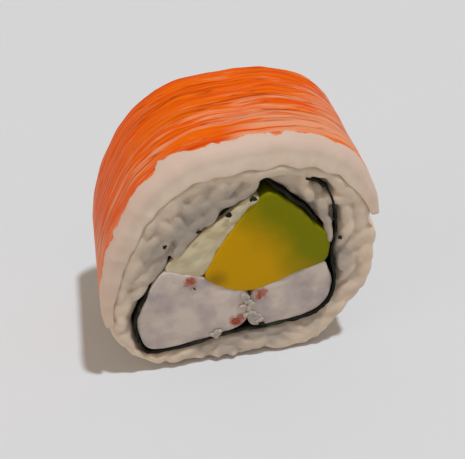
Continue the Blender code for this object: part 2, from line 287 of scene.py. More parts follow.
def rice_hole(clear, over):
    """What the rice goes round: the nori's outer side, less where rice lies over its edge, and
    back along its inner side where the sheet's two ends overlap with rice between them."""
    line = nori_line(3)
    outer_end = line[:15]
    overlap = [i for i, point in enumerate(outer_end) if point.y > POCKET_FLOOR]
    inner_side = offset_line(line, -clear)
    start_cap = line[0] + (line[0] - line[1]).normalized() * clear
    outer_side = offset_line(line, 1)
    for i, point in enumerate(line):
        share = rice_over_nori(point)
        outer_side[i] = point + (outer_side[i] - point) * (clear * (1 - share) - over * share)
    return outer_side + [inner_side[i] for i in reversed(overlap)] + [start_cap]


def placed(x, along, height):
    """A place in metres, from a place on the front face's drawing and one along the roll."""
    share = 0.5 + along / LENGTH
    scale = 1 - BACK_TAPER * share
    return Vector((x * scale + BACK_SHIFT * share, along, height * scale)) * MM


def ripple(x, y, z, size):
    """Smooth noise from -1 to 1 whose lumps are about that many millimetres wide."""
    return noise.noise(Vector((x, y, z)) / size)


def finish_piece(name, work, material, node):
    """Makes the object of a finished bmesh, which rides on the roll and stands for a CAD node."""
    for face in work.faces:
        face.smooth = True
    mesh = bpy.data.meshes.new(name)
    work.to_mesh(mesh)
    work.free()
    piece = bpy.data.objects.new(name, mesh)
    bpy.context.scene.collection.objects.link(piece)
    mesh.materials.append(material)
    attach(piece, "root")
    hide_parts(node)
    return piece


def fill_sockets(node, inputs):
    """Links or sets a node's sockets. A node given for one is linked by its first output in use."""
    for socket, value in inputs.items():
        if isinstance(value, bpy.types.Node):
            value = next(output for output in value.outputs if output.enabled)
        if isinstance(value, bpy.types.NodeSocket):
            node.id_data.links.new(value, node.inputs[socket])
        else:
            node.inputs[socket].default_value = value


def add_node(tree, kind, inputs, **settings):
    """Adds a shader node with its settings and links."""
    node = tree.nodes.new(f"ShaderNode{kind}")
    for option, value in settings.items():
        setattr(node, option, value)
    fill_sockets(node, inputs)
    return node


def start_material(name):
    """A new material, what adds its nodes, its shader, and Object coordinates in millimetres."""
    material = bpy.data.materials.new(name)
    material.use_nodes = True
    add = partial(add_node, material.node_tree)
    place = add("TexCoord", {}).outputs["Object"]
    scaled = add("VectorMath", {0: place, "Scale": 1 / MM}, operation="SCALE")
    return material, add, material.node_tree.nodes["Principled BSDF"], scaled


def rgba(colour):
    return (*colour, 1)


def surimi_material(settings):
    """Surimi, the pressed fish paste of crab sticks: fibres run round the roll, the skin is dyed
    and slightly moist, and the cut shows smooth ivory flesh under it."""
    material, add, shader, place = start_material("surimi_dyed_fish_paste")
    # Millimetres round the roll from the right-hand end, behind the shown cut, and under the skin
    sheet = add("Attribute", {}, attribute_name="sheet_place").outputs["Vector"]
    arc, along, depth = add("SeparateXYZ", {0: sheet}).outputs

    def streaks(squeeze, detail, roughness=0.5):
        """Noise drawn out round the roll, as strokes."""
        stretched = add("VectorMath", {0: sheet, 1: (*squeeze, 0.0)}, operation="MULTIPLY")
        inputs = {"Vector": stretched, "Scale": 1.0, "Detail": detail, "Roughness": roughness}
        return add("TexNoise", inputs)

    # Creases between two strands, where a stretched noise passes its middle value
    creases = 0.0
    for squeeze, width, share in (((0.016, 0.34), 0.007, 1.0), ((0.022, 0.75), 0.010, 0.7)):
        offset = add("Math", {0: streaks(squeeze, 2.0), 1: 0.5}, operation="SUBTRACT")
        offset = add("Math", {0: offset}, operation="ABSOLUTE")
        crease = add("MapRange", {0: offset, 1: width * 0.4, 2: width * 1.5, 3: share, 4: 0.0})
        creases = add("Math", {0: crease, 1: creases}, operation="MAXIMUM")
    # A crease comes and goes along its length
    breaks = add("TexNoise", {"Vector": sheet, "Scale": 0.13, "Detail": 3.0})
    lasting = add("MapRange", {0: breaks, 1: 0.36, 2: 0.52, 3: 0.25, 4: 1.0})
    creases = add("Math", {0: creases, 1: lasting}, operation="MULTIPLY")

    # The dye is thin in patches, and more so towards both ends of the sheet and near the cut
    patches = streaks((0.07, 0.62), 6.0, 0.62)
    near_right = add("MapRange", {0: arc, 1: 32.0, 2: 44.0, 3: 0.05, 4: 0.0})
    near_cut = add("MapRange", {0: along, 1: 11.0, 2: 17.0, 3: 1.0, 4: 0.0})
    for thinning in (
        add("MapRange", {0: arc, 1: 0.0, 2: 36.0, 3: 0.20, 4: 0.0}),
        add("MapRange", {0: arc, 1: 54.0, 2: 74.0, 3: 0.0, 4: 0.13}),
        add("MapRange", {0: along, 1: 9.0, 2: 20.0, 3: 0.02, 4: -0.07}),
        add("Math", {0: near_right, 1: near_cut}, operation="MULTIPLY"),
    ):
        patches = add("Math", {0: patches, 1: thinning}, operation="ADD")
    pale = add("MapRange", {0: patches, 1: 0.53, 2: 0.66, 3: 0.0, 4: 0.9})
    # One pale stripe near the cut, over the right half of the top
    wavy = add("Math", {0: breaks, 1: 3.0, 2: along}, operation="MULTIPLY_ADD")
    offset = add("Math", {0: wavy, 1: 6.7}, operation="SUBTRACT")
    offset = add("Math", {0: offset}, operation="ABSOLUTE")
    stripe = add("MapRange", {0: offset, 1: 0.7, 2: 1.2, 3: 1.0, 4: 0.0})
    on_right = add("MapRange", {0: arc, 1: 30.0, 2: 36.0, 3: 1.0, 4: 0.0})
    stripe = add("Math", {0: stripe, 1: on_right}, operation="MULTIPLY")
    pale = add("Math", {0: pale, 1: stripe}, operation="MAXIMUM")

    # Streaks of deeper dye are as fine as brush strokes, with the pale dye and the creases over them
    deeper = add("MapRange", {0: streaks((0.035, 1.1), 5.0, 0.6), 1: 0.40, 2: 0.62})
    drawn_creases = add("Math", {0: creases, 1: 0.75}, operation="MULTIPLY")
    skin = rgba(settings.orange)
    for share, colour in (
        (deeper, settings.red_orange),
        (pale, settings.salmon),
        (drawn_creases, settings.strand),
    ):
        skin = add("Mix", {0: share, 6: skin, 7: rgba(colour)}, data_type="RGBA")

    # The dyed skin ends in a ragged line a little behind the shown cut, and close to the back one.
    # On the upper left a tab of flesh juts out, with a notch after it.
    ragged = add("TexNoise", {"Vector": sheet, "Scale": 0.3, "Detail": 5.0})
    wander = add("MapRange", {0: ragged, 1: 0.3, 2: 0.7, 3: 0.9, 4: -0.9})
    tab = add("MapRange", {0: arc, 1: 40.0, 2: 47.0, 3: 0.0, 4: 2.2})
    notch = add("MapRange", {0: arc, 1: 47.2, 2: 47.9, 3: 1.0, 4: 0.0})
    limit = add("Math", {0: tab, 1: notch, 2: wander}, operation="MULTIPLY_ADD")
    past_limit = add("Math", {0: along, 1: limit}, operation="SUBTRACT")
    border = settings.border / MM
    dyed = add("MapRange", {0: past_limit, 1: border - 0.12, 2: border + 0.12})
    back_limit = add("Math", {0: wander, 1: 0.3, 2: LENGTH}, operation="MULTIPLY_ADD")
    from_back = add("Math", {0: back_limit, 1: along}, operation="SUBTRACT")
    for share in (
        add("MapRange", {0: from_back, 1: 0.35, 2: 0.6}),
        add("MapRange", {0: depth, 1: 0.5, 2: 0.7, 3: 1.0, 4: 0.0}),
    ):
        dyed = add("Math", {0: dyed, 1: share}, operation="MULTIPLY")

    # The flesh is cloudy, darker down the left, and a little dyed next to the skin.
    # There painted shade also evens out the rounded edge, which the light makes brighter
    cloud = add("TexNoise", {"Vector": place, "Scale": 0.25, "Detail": 3.0})
    cloudy = add("MapRange", {0: cloud, 1: 0.35, 2: 0.65, 3: 0.0, 4: 0.3})
    darker = add("MapRange", {0: arc, 1: 48.0, 2: 78.0, 3: 0.0, 4: 0.6})
    shaded = add("Math", {0: cloudy, 1: darker}, operation="ADD")
    bled_and_shaded = add("MapRange", {0: depth, 1: 0.3, 2: 3.2, 3: 1.0, 4: 0.0})
    colour = rgba(settings.flesh)
    for share, layer in (
        (shaded, rgba(settings.flesh_shade)),
        (bled_and_shaded, rgba(settings.bleed_and_shade)),
        (dyed, skin),
    ):
        colour = add("Mix", {0: share, 6: colour, 7: layer}, data_type="RGBA")

    sunk = add("Math", {0: creases, 1: dyed}, operation="MULTIPLY")
    fibres = streaks((0.030, 0.42), 3.0, 0.55)
    height = add("Math", {0: fibres, 1: sunk}, operation="SUBTRACT")
    bump = add("Bump", {"Strength": 0.35, "Distance": 0.25 * MM, "Height": height})
    sockets = {
        "Base Color": colour, "Normal": bump, "Roughness": 0.45, "IOR": 1.38,
        "Specular IOR Level": 0.1, "Subsurface Weight": 0.12,
        "Subsurface Radius": (1.0, 0.45, 0.25), "Subsurface Scale": 0.5 * MM,
    }
    fill_sockets(shader, sockets)
    return material


def rice_material(settings):
    """Cooked short-grain rice: swollen starch, half clear, with a damp sheen. It is whiter out towards
    the surimi and greyer beside the nori: glassier there, with painted shade on the recessed rice."""
    material, add, shader, place = start_material("cooked_short_grain_rice")
    # About one tone to a grain, drawn coarsely
    tone = add("TexVoronoi", {"Vector": place, "Scale": 0.3}).outputs["Color"]
    # Greyer towards the middle: damp glassy rice, and painted shade where the rice lies recessed
    centred = add("VectorMath", {0: place, 1: (1.0, 0.0, 19.5)}, operation="SUBTRACT")
    flat = add("VectorMath", {0: centred, 1: (1.0, 0.0, 1.0)}, operation="MULTIPLY")
    radius = add("VectorMath", {0: flat}, operation="LENGTH")
    cloud = add("TexNoise", {"Vector": place, "Scale": 0.22, "Detail": 2.0})
    cloud = add("MapRange", {0: cloud, 3: -5.0, 4: 5.0})
    radius = add("Math", {0: radius, 1: cloud}, operation="ADD")
    damp = add("MapRange", {0: radius, 1: 15.5, 2: 20.0, 3: 0.8, 4: 0.0})
    varied = add("Math", {0: tone, 1: 0.35}, operation="MULTIPLY")
    damp = add("Math", {0: damp, 1: varied}, operation="ADD", use_clamp=True)
    colour = add("Mix", {0: damp, 6: rgba(settings.white), 7: rgba(settings.shade)}, data_type="RGBA")
    fine = add("TexNoise", {"Vector": place, "Scale": 1.6, "Detail": 3.0})
    bump = add("Bump", {"Strength": 0.2, "Distance": 0.2 * MM, "Height": fine})
    sockets = {
        "Base Color": colour, "Normal": bump, "Roughness": 0.4, "IOR": 1.38,
        "Subsurface Weight": 0.6, "Subsurface Radius": (1.0, 0.8, 0.65),
        "Subsurface Scale": 1.8 * MM,
    }
    fill_sockets(shader, sockets)
    return material


def nori_material(settings):
    """Nori, pressed and dried seaweed made damp by the rice: near black, and wrinkled."""
    material, add, shader, place = start_material("damp_pressed_seaweed")
    mottle = add("TexNoise", {"Vector": place, "Scale": 0.5, "Detail": 4.0})
    green = add("MapRange", {0: mottle, 1: 0.5, 2: 0.7})
    colour = add("Mix", {0: green, 6: rgba(settings.sheet), 7: rgba(settings.green)}, data_type="RGBA")
    bump = add("Bump", {"Strength": 0.5, "Distance": 0.2 * MM, "Height": mottle})
    sockets = {
        "Base Color": colour, "Normal": bump, "Roughness": 0.6, "IOR": 1.4,
        "Specular IOR Level": 0.25,
    }
    fill_sockets(shader, sockets)
    return material


def avocado_material(settings):
    """Ripe avocado cut with a wet knife: buttery yellow near the stone, green under the peel."""
    material, add, shader, place = start_material("ripe_avocado_flesh")
    # The peel was on the upper right
    slope = add("VectorMath", {0: place, 1: (0.81, 0.0, 0.58)}, operation="DOT_PRODUCT")
    cloud = add("TexNoise", {"Vector": place, "Scale": 0.14, "Detail": 4.0})
    cloud = add("MapRange", {0: cloud, 3: -4.0, 4: 4.0})
    slope = add("Math", {0: slope, 1: cloud}, operation="ADD")
    green = add("MapRange", {0: slope, 1: 14.5, 2: 23.0}, interpolation_type="SMOOTHSTEP")
    # Its lower left tip has begun to go brown
    to_tip = add("VectorMath", {0: place, 1: (-4.3, FRONT, 19.0)}, operation="DISTANCE")
    brown = add("MapRange", {0: to_tip, 1: 0.6, 2: 2.6, 3: 0.55, 4: 0.0})
    colour = rgba(settings.avocado_yellow)
    for share, layer in ((green, settings.avocado_green), (brown, settings.avocado_brown)):
        colour = add("Mix", {0: share, 6: colour, 7: rgba(layer)}, data_type="RGBA")
    grain = add("TexNoise", {"Vector": place, "Scale": 1.2, "Detail": 3.0})
    bump = add("Bump", {"Strength": 0.15, "Distance": 0.2 * MM, "Height": grain})
    sockets = {
        "Base Color": colour, "Normal": bump, "Roughness": 0.45, "IOR": 1.45,
        "Specular IOR Level": 0.08, "Subsurface Weight": 0.25,
        "Subsurface Radius": (1.0, 0.7, 0.15), "Subsurface Scale": 1.2 * MM,
    }
    fill_sockets(shader, sockets)
    return material


def cheese_material(settings):
    """Fresh soft cheese, smeared as the roll was closed: white and smooth, with a green tinge."""
    material, add, shader, place = start_material("fresh_soft_cheese")
    cloud = add("TexNoise", {"Vector": place, "Scale": 0.4, "Detail": 4.0})
    tinge = add("MapRange", {0: cloud, 1: 0.35, 2: 0.7, 3: 0.0, 4: 0.6})
    cheese, tinged = rgba(settings.cheese), rgba(settings.cheese_tinge)
    colour = add("Mix", {0: tinge, 6: cheese, 7: tinged}, data_type="RGBA")
    bump = add("Bump", {"Strength": 0.4, "Distance": 0.3 * MM, "Height": cloud})
    sockets = {
        "Base Color": colour, "Normal": bump, "Roughness": 0.5, "IOR": 1.4,
        "Subsurface Weight": 0.3, "Subsurface Radius": (1.0, 0.9, 0.7),
        "Subsurface Scale": 1.0 * MM,
    }
    fill_sockets(shader, sockets)
    return material


def prawn_material(settings):
    """Cooked prawn: white muscle that lets some light through, with red bits of its skin."""
    material, add, shader, place = start_material("cooked_prawn_flesh")
    cloud = add("TexNoise", {"Vector": place, "Scale": 0.2, "Detail": 4.0})
    shaded = add("MapRange", {0: cloud, 1: 0.4, 2: 0.65})
    # Red flecks gather round three spots of the shown face
    red = 0.0
    for x, height, radius in ((-8.7, 19.0, 2.4), (3.5, 14.5, 2.6), (-0.5, 9.2, 2.6)):
        offset = add("VectorMath", {0: place, 1: (x, FRONT, height)}, operation="DISTANCE")
        spot = add("MapRange", {0: offset, 1: 0.0, 2: radius, 3: 1.0, 4: 0.0})
        red = add("Math", {0: spot, 1: red}, operation="MAXIMUM")
    flecks = add("TexNoise", {"Vector": place, "Scale": 0.9, "Detail": 4.0})
    red = add("Math", {0: red, 1: flecks}, operation="MULTIPLY")
    red = add("MapRange", {0: red, 1: 0.16, 2: 0.34, 3: 0.0, 4: 0.8})
    colour = rgba(settings.prawn)
    for share, layer in ((shaded, settings.prawn_shade), (red, settings.prawn_red)):
        colour = add("Mix", {0: share, 6: colour, 7: rgba(layer)}, data_type="RGBA")
    fine = add("TexNoise", {"Vector": place, "Scale": 0.8, "Detail": 4.0})
    bump = add("Bump", {"Strength": 0.35, "Distance": 0.3 * MM, "Height": fine})
    sockets = {
        "Base Color": colour, "Normal": bump, "Roughness": 0.36, "IOR": 1.39,
        "Subsurface Weight": 0.45, "Subsurface Radius": (1.0, 0.75, 0.65),
        "Subsurface Scale": 1.5 * MM,
    }
    fill_sockets(shader, sockets)
    return material


def sheet_section(thickness, rounding):
    """The sheet's section along the roll, as (distance behind the front cut, depth under the
    skin), one closed loop with the same number of points for any thickness."""
    outer, inner = min(rounding, thickness * 0.46), min(0.4, thickness * 0.2)
    # Each corner as its centre, radius, first and last angle, and number of steps
    corners = (
        (outer, outer, outer, 180, 270, 8),
        (LENGTH - outer, outer, outer, 270, 360, 8),
        (LENGTH - inner, thickness - inner, inner, 0, 90, 3),
        (inner, thickness - inner, inner, 90, 180, 3),
    )

    def on_corner(corner, share):
        x, y, radius, start, end, _ = corner
        turn = math.radians(start + (end - start) * share)
        return Vector((x + radius * math.cos(turn), y + radius * math.sin(turn)))

    loop = []
    for number, side_steps in enumerate((46, 10, 14, 10)):
        steps = corners[number][-1]
        loop += [on_corner(corners[number], step / steps) for step in range(steps + 1)]
        first, last = loop[-1], on_corner(corners[(number + 1) % 4], 0)
        loop += [first.lerp(last, step / side_steps) for step in range(1, side_steps)]
    return loop


def make_surimi_sheet(settings):
    """The sheet as a grid rolled into a tube: once round its section, and from end to end."""
    rounds = 230
    rounding = settings.rounding / MM
    angles = [SHEET_START + (SHEET_END - SHEET_START) * step / rounds for step in range(rounds + 1)]
    sections = [sheet_section(sheet_thickness(angle) + SHEET_SEATING, rounding) for angle in angles]
    arcs = [0.0]
    for before, angle in zip(angles, angles[1:]):
        arcs.append(arcs[-1] + (outline(angle) - outline(before)).length)
    count = len(sections[0])
    work = bmesh.new()
    bmesh.ops.create_grid(work, x_segments=rounds, y_segments=count, size=1)
    place_layer = work.verts.layers.float_vector.new("sheet_place")
    for vertex in work.verts:
        column = round((vertex.co.x + 1) / 2 * rounds)
        row = round((vertex.co.y + 1) / 2 * count) % count
        along, depth = sections[column][row]
        angle, arc = angles[column], arcs[column]
        fade = min(1, 5 * column / rounds, 5 - 5 * column / rounds)
        # Low ridges run round the skin, and the inner side runs unevenly into the rice
        ridge = 0.22 * ripple(arc / 14, along * 1.1, 3, 1) + 0.25 * ripple(arc / 5, along * 0.35, 9, 1)
        uneven = 0.5 * ripple(arc, along * 0.3, 21, 3.5) * min(1, depth / sheet_thickness(angle)) ** 2
        under = depth + 0.2 + fade * (ridge * max(0, 1 - depth) + uneven)
        # The two cut faces wave a little, each towards the middle of the roll
        wave = 0.4 * abs(ripple(arc, 0, 5, 5)) * (1 - 2 * along / LENGTH)
        point = inward(angle, under)
        vertex[place_layer] = Vector((arc, along, depth))
        vertex.co = placed(point.x, FRONT + along + wave, point.y)
    bmesh.ops.remove_doubles(work, verts=work.verts, dist=MERGE)
    bmesh.ops.holes_fill(work, edges=[e for e in work.edges if e.is_boundary], sides=0)
    bmesh.ops.recalc_face_normals(work, faces=work.faces)
    finish_piece("surimi_sheet", work, surimi_material(settings), "surimi_topping")


def make_nori_sheet(settings):
    """The sheet as a grid bent along the spiral, a little wrinkled, with torn cut edges."""
    line = nori_line(10)
    sides = offset_line(line, 1)
    rows, step_length = 24, 0.45
    work = bmesh.new()
    bmesh.ops.create_grid(work, x_segments=len(line) - 1, y_segments=rows, size=1)
    for vertex in work.verts:
        column = round((vertex.co.x + 1) / 2 * (len(line) - 1))
        share = vertex.co.y
        middle = line[column]
        side = sides[column] - middle
        arc = column * step_length
        wrinkle = 0.18 * ripple(arc, share * 4, 1, 1.6) + 0.1 * ripple(arc, share * 4, 6, 0.7)
        torn = 0.3 + 0.3 * ripple(arc, 11 * round(share), 2, 1.1) + 0.15 * ripple(arc, share, 8, 0.5)
        torn += 1.5 * rice_over_nori(middle)
        point = middle + side * wrinkle
        vertex.co = placed(point.x, share * (LENGTH / 2 - max(0.02, torn)), point.y)
    bmesh.ops.recalc_face_normals(work, faces=work.faces)
    material = nori_material(settings)
    finish_piece("nori_bits", crumbs(NORI_BITS, 2), material, "nori")
    piece = finish_piece("nori_sheet", work, material, "nori")
    wall = piece.modifiers.new("wall", "SOLIDIFY")
    wall.thickness = settings.thickness
    wall.offset = 0


def block(points, rim, bulge, lumps, lump_size, seed):
    """A bmesh of a filling: rings from the middle of its front face over the rounded rim, along
    the roll and in to the middle of its back face."""
    face_rings, rim_steps, side_steps = 16, 5, 20
    edge = smooth_path(points, 8, closed=True)
    middle = sum(edge, Vector((0, 0))) / len(edge)
    sides = []
    for i, point in enumerate(edge):
        along = edge[(i + 1) % len(edge)] - edge[i - 1]
        side = Vector((-along.y, along.x)).normalized()
        sides.append(-side if side.dot(middle - point) < 0 else side)
    # A ring is its share of the way out from the middle, its inset, and its place along the roll
    rings = [(share / face_rings, rim, 0.0) for share in range(1, face_rings)]
    for step in range(rim_steps + 1):
        turn = math.radians(90 * step / rim_steps)
        rings.append((1.0, rim * (1 - math.sin(turn)), rim * (1 - math.cos(turn))))
    profile = [(share, inset, FRONT + behind) for share, inset, behind in rings]
    profile += [(1.0, 0.0, FRONT + LENGTH * step / side_steps) for step in range(1, side_steps)]
    profile += [(share, inset, BACK - behind) for share, inset, behind in reversed(rings)]

    work = bmesh.new()
    spoke = work.verts.layers.int.new("spoke")
    ring = bmesh.ops.create_circle(work, cap_ends=False, segments=len(edge), radius=1)["verts"]
    for number, vertex in enumerate(ring):
        vertex[spoke] = number
    first_ring = ring
    for number, (share, inset, along) in enumerate(profile):
        if number:
            members = set(ring)
            ring_edges = [e for e in work.edges if all(v in members for v in e.verts)]
            made = bmesh.ops.extrude_edge_only(work, edges=ring_edges)["geom"]
            ring = [item for item in made if isinstance(item, bmesh.types.BMVert)]
        on_face = along < FRONT + rim + 0.01 or along > BACK - rim - 0.01
        for vertex in ring:
            outer = edge[vertex[spoke]] + sides[vertex[spoke]] * (inset - FILLING_SEATING)
            point = middle.lerp(outer, share)
            lump = ripple(point.x, along, point.y + seed, lump_size) * lumps
            lump += ripple(point.x, along, point.y + seed, lump_size / 3) * lumps * 0.3
            if on_face:
                depth = bulge * share**4 + 0.08 + lumps + lump
                vertex.co = placed(point.x, along + (depth if along < 0 else -depth), point.y)
            else:
                point = middle.lerp(point, 1 - 0.02 * abs(lump))
                vertex.co = placed(point.x, along, point.y)
    for loop in (first_ring, ring):
        centre = sum((v.co for v in loop), Vector()) / len(loop)
        bmesh.ops.pointmerge(work, verts=loop, merge_co=centre)
    bmesh.ops.recalc_face_normals(work, faces=work.faces)
    return work


def crumbs(spots, seed):
    """A bmesh of small uneven bits that stick to the shown face."""
    draw = random.Random(seed)
    work = bmesh.new()
    for x, height, spread, count, size in spots:
        for _ in range(count):
            made = bmesh.ops.create_icosphere(work, subdivisions=3, radius=0.5)["verts"]
            shares = draw.uniform(0.9, 1.6), draw.uniform(0.3, 0.5), draw.uniform(0.6, 1.0)
            stretch = Vector(shares) * size
            turn = Matrix.Rotation(draw.uniform(0, math.pi), 3, "Y")
            across, up = draw.gauss(0, spread), draw.gauss(0, spread)
            centre = Vector((x + across, FRONT + stretch.y / 2 + 0.05, height + up))
            for vertex in made:
                uneven = 1 + 0.3 * ripple(*(vertex.co * 1.5 + centre), 1.4)
                vertex.co = placed(*(centre + turn @ (vertex.co * stretch) * uneven))
    for vertex in work.verts:
        vertex.co.y = max(vertex.co.y, (FRONT + 0.02) * MM)
    bmesh.ops.recalc_face_normals(work, faces=work.faces)
    return work


def plain_material(name, colour):
    """A damp material with one colour, for small bits."""
    material, add, shader, place = start_material(name)
    fine = add("TexNoise", {"Vector": place, "Scale": 1.5, "Detail": 3.0})
    share = add("MapRange", {0: fine, 3: 0.0, 4: 0.5})
    darker = [part * 0.5 for part in colour]
    mixed = add("Mix", {0: share, 6: rgba(colour), 7: rgba(darker)}, data_type="RGBA")
    sockets = {
        "Base Color": mixed, "Roughness": 0.45, "IOR": 1.38,
        "Subsurface Weight": 0.4, "Subsurface Radius": (1.0, 0.7, 0.6),
        "Subsurface Scale": 0.8 * MM,
    }
    fill_sockets(shader, sockets)
    return material


def make_avocado(settings):
    work = block(AVOCADO, rim=0.5, bulge=0.2, lumps=0.08, lump_size=5.0, seed=1)
    finish_piece("avocado_wedge", work, avocado_material(settings), "avocado")


def make_cheese(settings):
    work = block(CHEESE, rim=0.4, bulge=0.3, lumps=0.35, lump_size=2.2, seed=7)
    finish_piece("soft_cheese_band", work, cheese_material(settings), "cream_cheese")


def make_prawns(settings):
    material = prawn_material(settings)
    left = block(PRAWN_LEFT, rim=0.35, bulge=0.2, lumps=0.25, lump_size=4.0, seed=13)
    right = block(PRAWN_RIGHT, rim=0.35, bulge=0.2, lumps=0.25, lump_size=3.5, seed=29)
    finish_piece("prawn_piece_left", left, material, "prawn_left")
    finish_piece("prawn_piece_right", right, material, "prawn_right")
    white = plain_material("prawn_shreds", settings.shred)
    finish_piece("prawn_shreds", crumbs(SHREDS, 3), white, "prawn_left")
    red = plain_material("cooked_prawn_skin", settings.prawn_red)
    finish_piece("prawn_skin_bits", crumbs(SKIN_BITS, 4), red, "prawn_left")


def grain_fits(centre, turn, size, limit, hole):
    """Whether a grain lying in the cut face stays in the rice."""
    for step in range(10):
        a = 2 * math.pi * step / 10
        for reach in (0.55, 1.0):
            local = Vector((size.x / 2 * math.cos(a), size.y / 2 * math.sin(a))) * reach
            local.rotate(Matrix.Rotation(turn, 2))
            point = centre + local
            if not inside(point, limit) or inside(point, hole):
                return False
    return True


def grain_shape():
    """The mesh that each grain is bent from."""
    work = bmesh.new()
    bmesh.ops.create_uvsphere(work, u_segments=12, v_segments=10, radius=0.5)
    mesh = bpy.data.meshes.new("grain")
    work.to_mesh(mesh)
    work.free()
    return mesh


def lay_grain(work, shape, draw, matrix, size):
    """Adds one grain, bent a little along its length and blunter at one end."""
    bend, blunt = draw.uniform(-0.12, 0.12), draw.uniform(0, 0.18)
    first = len(work.verts)
    work.from_mesh(shape)
    work.verts.ensure_lookup_table()
    for vertex in work.verts[first:]:
        # The sphere's poles become the grain's two ends
        x, y, z = vertex.co.z, vertex.co.x, vertex.co.y
        width = 1 - blunt * (x + 0.5)
        local = Vector((x * size.x, (y * width + bend * (x * x * 4 - 0.5)) * size.y, z * width * size.z))
        local = matrix @ (local * MM) / MM
        vertex.co = placed(*local)


def grain_size(settings, draw):
    scale = 1 + 0.14 * draw.uniform(-1, 1)
    size = Vector((settings.grain_length, settings.grain_width, settings.grain_height))
    return size * scale / MM


def face_places(settings, draw):
    """Where grains of a cut face may lie, as (centre, turn, freedom of the turn): on a shifted
    grid, and in a row along the surimi."""
    pitch = settings.pitch / MM
    cells = 22
    for row in range(cells):
        for column in range(cells):
            x = (column - (cells - 1) / 2 + 0.5 * (row % 2)) * pitch + draw.uniform(-0.8, 0.8)
            yield Vector((x, row * pitch * ROW_SHARE + draw.uniform(-0.8, 0.8))), 0, math.pi
    edge = rice_edge(settings.grain_width / MM * 0.5)[::2]
    for number, point in enumerate(edge):
        along = edge[(number + 1) % len(edge)] - point
        yield point, math.atan2(along.y, along.x), 0.5


def lay_face_grain(work, shape, draw, centre, turn, size, face):
    """Lays one grain just behind the front face, for -1, or the back one, for 1."""
    behind = size.z / 2 + draw.uniform(0.03, 0.35)
    matrix = Matrix.Translation(Vector((centre.x, (LENGTH / 2 - behind) * face, centre.y)) * MM)
    matrix @= Matrix.Rotation(math.radians(90), 4, "X") @ Matrix.Rotation(turn, 4, "Z")
    matrix @= Matrix.Rotation(draw.uniform(-0.22, 0.22), 4, "Y")
    lay_grain(work, shape, draw, matrix, size)


def lay_face_grains(work, shape, settings, draw, face):
    """The grains that show at one cut face, each turned until it fits."""
    limit, hole = rice_edge(depth=0.05), rice_hole(clear=0.3, over=0.9)
    tries = 20
    for centre, base_turn, freedom in face_places(settings, draw):
        size = grain_size(settings, draw)
        for _ in range(tries):
            turn = base_turn + draw.uniform(-freedom, freedom)
            # What doesn't fit whole lies there as a grain that the knife cut short
            size *= 0.98
            if grain_fits(centre, turn, size, limit, hole):
                lay_face_grain(work, shape, draw, centre, turn, size, face)
                break
    for x, height, degrees, share in POCKET_GRAINS:
        size = grain_size(settings, draw) * share
        lay_face_grain(work, shape, draw, Vector((x, height)), math.radians(degrees), size, face)


def lay_side_grains(work, shape, settings, draw):
    """The grains on the bare outer side, between the surimi's two ends and round the bottom."""
    pitch = settings.pitch / MM
    rows = int(LENGTH / (pitch * ROW_SHARE))
    step_angle = math.degrees(pitch / MEAN_RADIUS)
    bare = 360 - (SHEET_END - SHEET_START)
    for row in range(rows + 1):
        for column in range(int(bare / step_angle) + 1):
            angle = SHEET_END + (column + 0.5 * (row % 2)) * step_angle + draw.uniform(-1.5, 1.5)
            size = grain_size(settings, draw)
            turn = draw.uniform(0, math.pi)
            reach_round = size.x / 2 * abs(math.cos(turn)) + size.y / 2 * abs(math.sin(turn))
            reach_along = size.x / 2 * abs(math.sin(turn)) + size.y / 2 * abs(math.cos(turn))
            swing = math.degrees(reach_round / MEAN_RADIUS) + 0.5
            if angle - swing < SHEET_END or angle + swing > 360 + SHEET_START:
                continue
            along = FRONT + (row + 0.5) * pitch * ROW_SHARE + draw.uniform(-0.6, 0.6)
            along = min(max(along, FRONT + reach_along), BACK - reach_along)
            depth = size.z / 2 + draw.uniform(-0.3, 0.2)
            point = inward(angle, depth)
            point.y = max(point.y, size.z / 2 + 0.02)
            facing = inward_direction(angle) if outline(angle).y > 2 else Vector((0, 1))
            tilt = math.atan2(facing.y, facing.x) - math.pi / 2
            matrix = Matrix.Translation(Vector((point.x, along, point.y)) * MM)
            matrix @= Matrix.Rotation(-tilt, 4, "Y") @ Matrix.Rotation(turn, 4, "Z")
            lay_grain(work, shape, draw, matrix, size)


def bed_move(place, normal):
    """How far a place on the rice bed's surface, in millimetres, goes out along its normal: in
    under the grains that show, and out towards the sheet and the nori."""
    spoke = Vector((place.x, place.z - CENTRE_HEIGHT))
    angle = math.degrees(math.atan2(spoke.y, spoke.x)) % 360
    bare = normal.x * spoke.x + normal.z * spoke.y > 0 and not SHEET_START < angle < SHEET_END
    side = -BED_SINK if bare else BED_SEATING
    # The cut faces go in fully, and the rounded edges beside them in part
    facing = min(abs(normal.y) * 1.4, 1)
    return side + (-BED_SINK - side) * facing


def melted(work, voxel, rounds):
    """The bmesh with its overlapping parts run together and softened."""
    mesh = bpy.data.meshes.new("melting")
    work.to_mesh(mesh)
    work.free()
    piece = bpy.data.objects.new("melting", mesh)
    bpy.context.scene.collection.objects.link(piece)
    soften = piece.modifiers.new("soften", "REMESH")
    soften.mode = "VOXEL"
    soften.voxel_size = voxel * MM
    made = bpy.data.meshes.new_from_object(piece.evaluated_get(bpy.context.evaluated_depsgraph_get()))
    bpy.data.objects.remove(piece)
    work = bmesh.new()
    work.from_mesh(made)
    bpy.data.meshes.remove(made)
    bpy.data.meshes.remove(mesh)
    every_axis = {"use_axis_x": True, "use_axis_y": True, "use_axis_z": True}
    for _ in range(rounds):
        bmesh.ops.smooth_vert(work, verts=work.verts, factor=0.5, **every_axis)
    work.normal_update()
    return work


